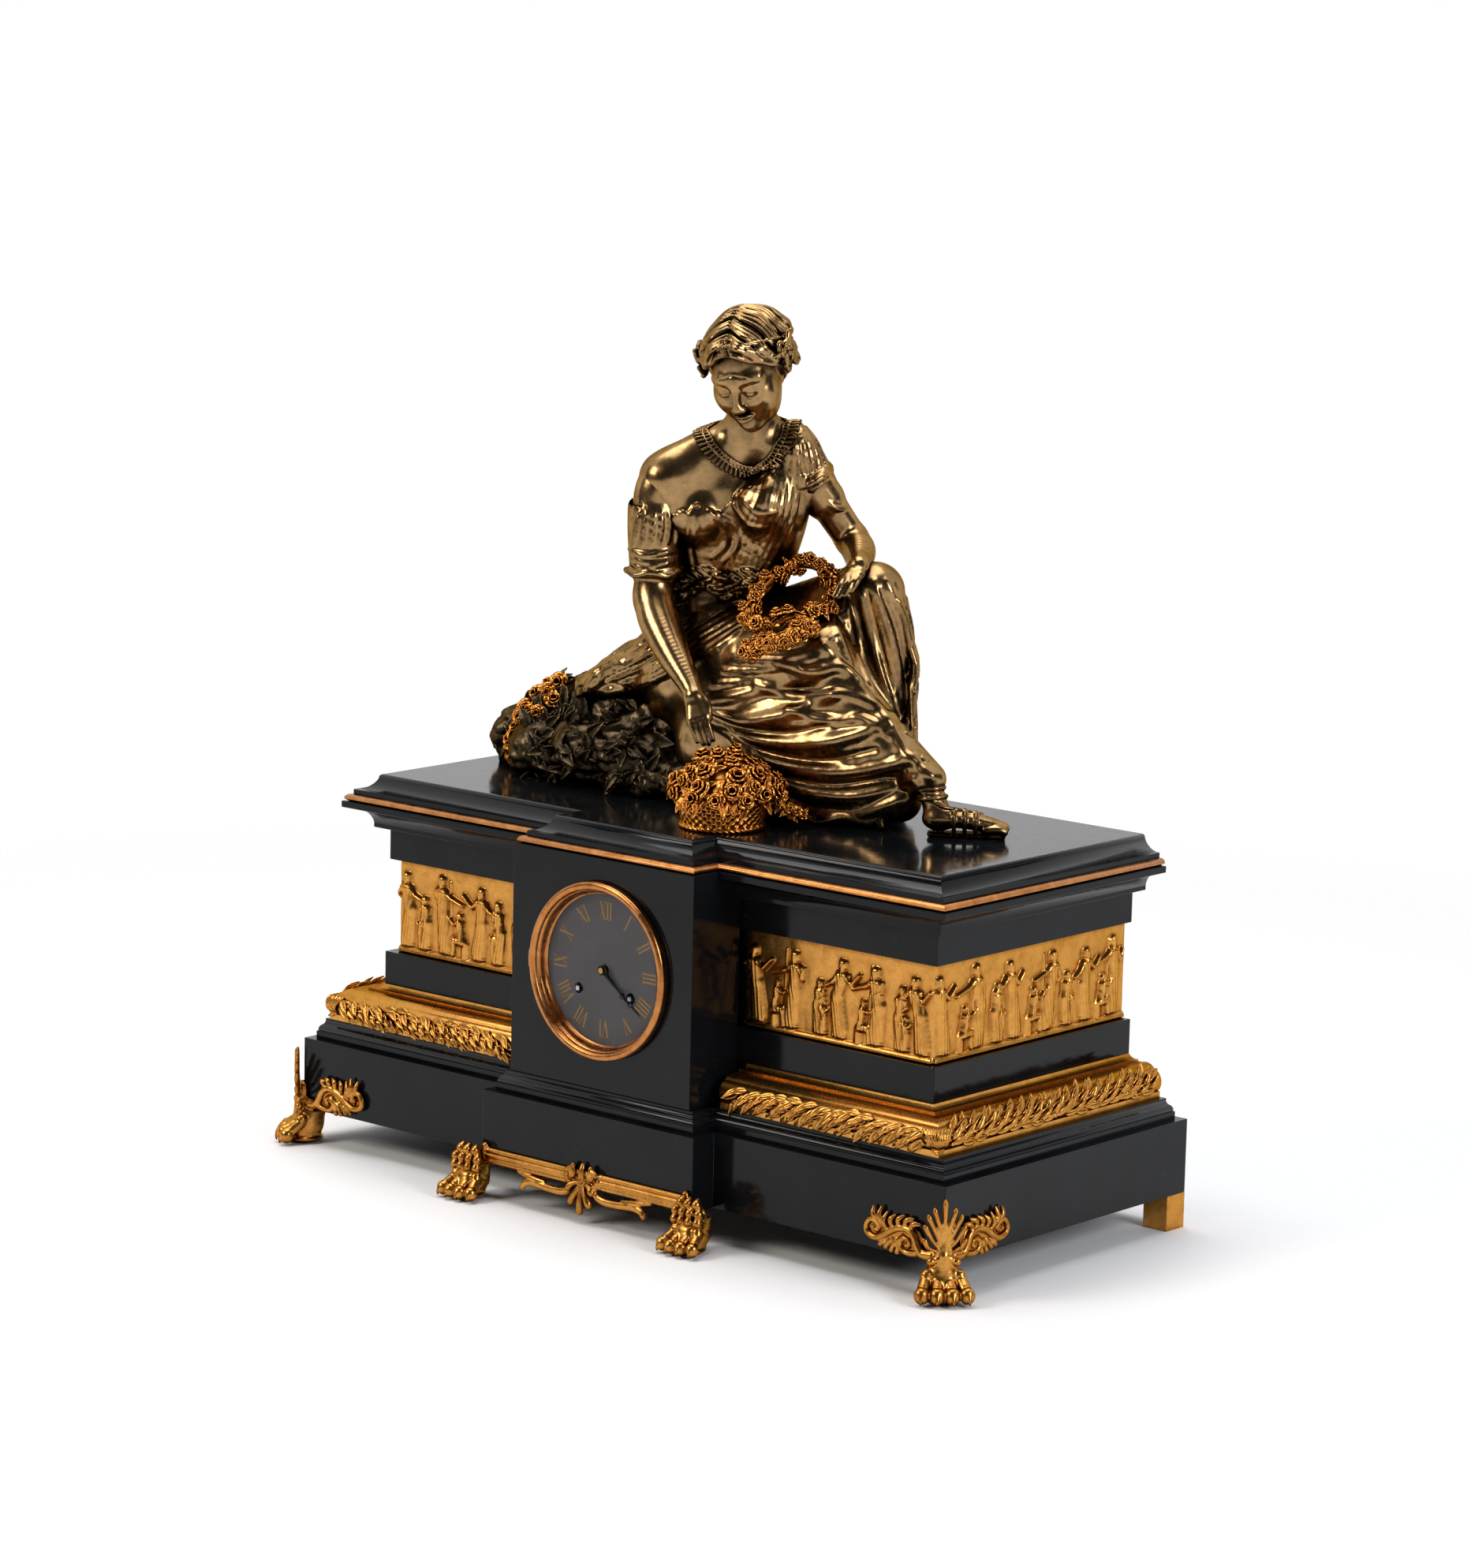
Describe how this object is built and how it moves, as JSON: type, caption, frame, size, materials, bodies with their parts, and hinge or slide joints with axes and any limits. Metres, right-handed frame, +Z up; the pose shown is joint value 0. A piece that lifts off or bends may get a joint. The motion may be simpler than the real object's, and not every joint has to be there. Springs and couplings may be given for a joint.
{
  "type": "figural clock",
  "caption": "Mantel clock: stepped slate case with gilt mounts and paw feet, a striking pendulum movement behind a glazed bezel, and a seated robed bronze figure with garland and basket on top.",
  "frame": {"origin": "on the surface the clock stands on, in the middle of the whole clock's width and depth", "axes": "X runs along the case to the viewer's right when facing the dial, -Y is the direction the dial faces, Z is up"},
  "size_m": [0.6626, 0.3238, 0.6524],
  "materials": {
    "slate": "polished black slate",
    "gilt_bronze": "gilt bronze, aged, darker in the recesses",
    "patinated_bronze": "brown patinated bronze, polished on the highlights",
    "brass": "lacquered brass",
    "steel": "polished steel",
    "bell_metal": "turned bell metal",
    "pendulum_brass": "brass-cased bob on a steel rod",
    "blued_steel": "blackened steel",
    "dial_black": "honed black slate with incised gilt numerals",
    "clear_glass": "flat clear glass"
  },
  "bodies": {
    "clock_case": {"plinth": "slate", "plinth_moulding": "slate", "left_wing": "slate", "right_wing": "slate", "dial_block": "slate", "back_panel": "slate", "cornice": "slate", "top_slab": "slate", "gilt_fillet": "gilt_bronze", "right_torus": "gilt_bronze", "left_torus": "gilt_bronze", "right_frieze": "gilt_bronze", "left_frieze": "gilt_bronze", "right_corner_foot": "gilt_bronze", "left_corner_foot": "gilt_bronze", "centre_feet": "gilt_bronze", "rear_feet": "gilt_bronze", "apron_mount": "gilt_bronze", "figure_torso": "patinated_bronze", "figure_skirt": "patinated_bronze", "figure_head": "patinated_bronze", "right_arm": "patinated_bronze", "left_arm": "patinated_bronze", "garlands": "patinated_bronze", "basket": "patinated_bronze", "basket_flowers": "patinated_bronze", "rock_mound": "patinated_bronze", "bezel_frame": "brass", "back_frame": "brass", "front_plate": "brass", "back_plate": "brass", "pillars": "brass", "straps": "brass", "hinge_pins": "steel", "strap_screws": "steel", "bell_stand": "steel", "bell": "bell_metal", "dial": "dial_black"},
    "glazed_bezel": {"bezel": "brass", "bezel_glass": "clear_glass"},
    "rear_door": {"back_door": "brass"},
    "centre_arbor": {"centre_wheel": "brass", "minute_hand": "blued_steel"},
    "hour_pipe": {"hour_wheel": "brass", "hour_hand": "blued_steel"},
    "motion_wheel": {"minute_wheel": "brass"},
    "second_arbor": {"second_wheel": "brass"},
    "going_drum": {"going_barrel": "brass"},
    "third_arbor": {"third_wheel": "brass"},
    "escape_arbor": {"escape_wheel": "brass"},
    "anchor": {"pallets": "steel"},
    "pendulum_body": {"pendulum": "pendulum_brass"},
    "strike_drum": {"strike_barrel": "brass"},
    "strike_second_arbor": {"strike_second_wheel": "brass"},
    "pin_arbor": {"pin_wheel": "brass"},
    "fly_arbor": {"fly": "brass"},
    "hammer_arbor": {"hammer": "steel"},
    "going_winder": {"going_winding_arbor": "steel"},
    "strike_winder": {"strike_winding_arbor": "steel"}
  },
  "joints": [
    {"name": "bezel_hinge", "type": "hinge", "parent": "clock_case", "child": "glazed_bezel", "pos_m": [-0.06475, -0.12897, 0.182], "axis": [0, 0, -1], "range_deg": [0, 110]},
    {"name": "rear_door_hinge", "type": "hinge", "parent": "clock_case", "child": "rear_door", "pos_m": [-0.06005, 0.15303, 0.182], "axis": [0, 0, 1], "range_deg": [0, 110]},
    {"name": "minute_turn", "type": "hinge", "parent": "clock_case", "child": "centre_arbor", "pos_m": [0, -0.08727, 0.182], "axis": [0, 1, 0], "continuous": true},
    {"name": "hour_turn", "type": "hinge", "parent": "clock_case", "child": "hour_pipe", "pos_m": [0, -0.08727, 0.182], "axis": [0, 1, 0], "continuous": true},
    {"name": "motion_wheel_turn", "type": "hinge", "parent": "clock_case", "child": "motion_wheel", "pos_m": [0, -0.08727, 0.17], "axis": [0, 1, 0], "continuous": true},
    {"name": "second_turn", "type": "hinge", "parent": "clock_case", "child": "second_arbor", "pos_m": [0.01653, -0.08727, 0.18167], "axis": [0, 1, 0], "continuous": true},
    {"name": "going_barrel_turn", "type": "hinge", "parent": "clock_case", "child": "going_drum", "pos_m": [0.025, -0.08727, 0.165], "axis": [0, 1, 0], "continuous": true},
    {"name": "third_turn", "type": "hinge", "parent": "clock_case", "child": "third_arbor", "pos_m": [-0.00298, -0.08727, 0.1989], "axis": [0, 1, 0], "continuous": true},
    {"name": "escape_turn", "type": "hinge", "parent": "clock_case", "child": "escape_arbor", "pos_m": [0, -0.08727, 0.21342], "axis": [0, 1, 0], "continuous": true},
    {"name": "strike_turn", "type": "hinge", "parent": "clock_case", "child": "strike_second_arbor", "pos_m": [-0.02663, -0.08727, 0.18363], "axis": [0, 1, 0], "continuous": true},
    {"name": "strike_barrel_turn", "type": "hinge", "parent": "clock_case", "child": "strike_drum", "pos_m": [-0.025, -0.08727, 0.165], "axis": [0, 1, 0], "continuous": true},
    {"name": "pin_wheel_turn", "type": "hinge", "parent": "clock_case", "child": "pin_arbor", "pos_m": [-0.01887, -0.08727, 0.19822], "axis": [0, 1, 0], "continuous": true},
    {"name": "fly_turn", "type": "hinge", "parent": "clock_case", "child": "fly_arbor", "pos_m": [-0.02367, -0.08727, 0.21142], "axis": [0, 1, 0], "continuous": true},
    {"name": "going_winding", "type": "hinge", "parent": "clock_case", "child": "going_winder", "pos_m": [0.025, -0.08727, 0.165], "axis": [0, 1, 0], "continuous": true},
    {"name": "strike_winding", "type": "hinge", "parent": "clock_case", "child": "strike_winder", "pos_m": [-0.025, -0.08727, 0.165], "axis": [0, 1, 0], "continuous": true},
    {"name": "pendulum_swing", "type": "hinge", "parent": "clock_case", "child": "pendulum_body", "pos_m": [0, -0.05627, 0.22692], "axis": [0, 1, 0], "range_deg": [-4, 4]},
    {"name": "anchor_swing", "type": "hinge", "parent": "clock_case", "child": "anchor", "pos_m": [0, -0.08727, 0.22692], "axis": [0, 1, 0], "range_deg": [-4, 4]},
    {"name": "hammer_lift", "type": "hinge", "parent": "clock_case", "child": "hammer_arbor", "pos_m": [-0.038, -0.08727, 0.196], "axis": [0, 1, 0], "range_deg": [0, 18], "stiffness_Nm_per_rad": 0.02}
  ],
  "couplings": [
    {"joint": "second_turn", "follows": "minute_turn", "ratio": -0.26667},
    {"joint": "going_barrel_turn", "follows": "minute_turn", "ratio": 0.059259},
    {"joint": "third_turn", "follows": "minute_turn", "ratio": -4.5},
    {"joint": "escape_turn", "follows": "minute_turn", "ratio": 16.875},
    {"joint": "motion_wheel_turn", "follows": "minute_turn", "ratio": -0.33333},
    {"joint": "hour_turn", "follows": "minute_turn", "ratio": 0.083333},
    {"joint": "strike_barrel_turn", "follows": "strike_turn", "ratio": -0.22222},
    {"joint": "pin_wheel_turn", "follows": "strike_turn", "ratio": -3.75},
    {"joint": "fly_turn", "follows": "strike_turn", "ratio": 13.125},
    {"joint": "anchor_swing", "follows": "pendulum_swing", "ratio": 1}
  ]
}
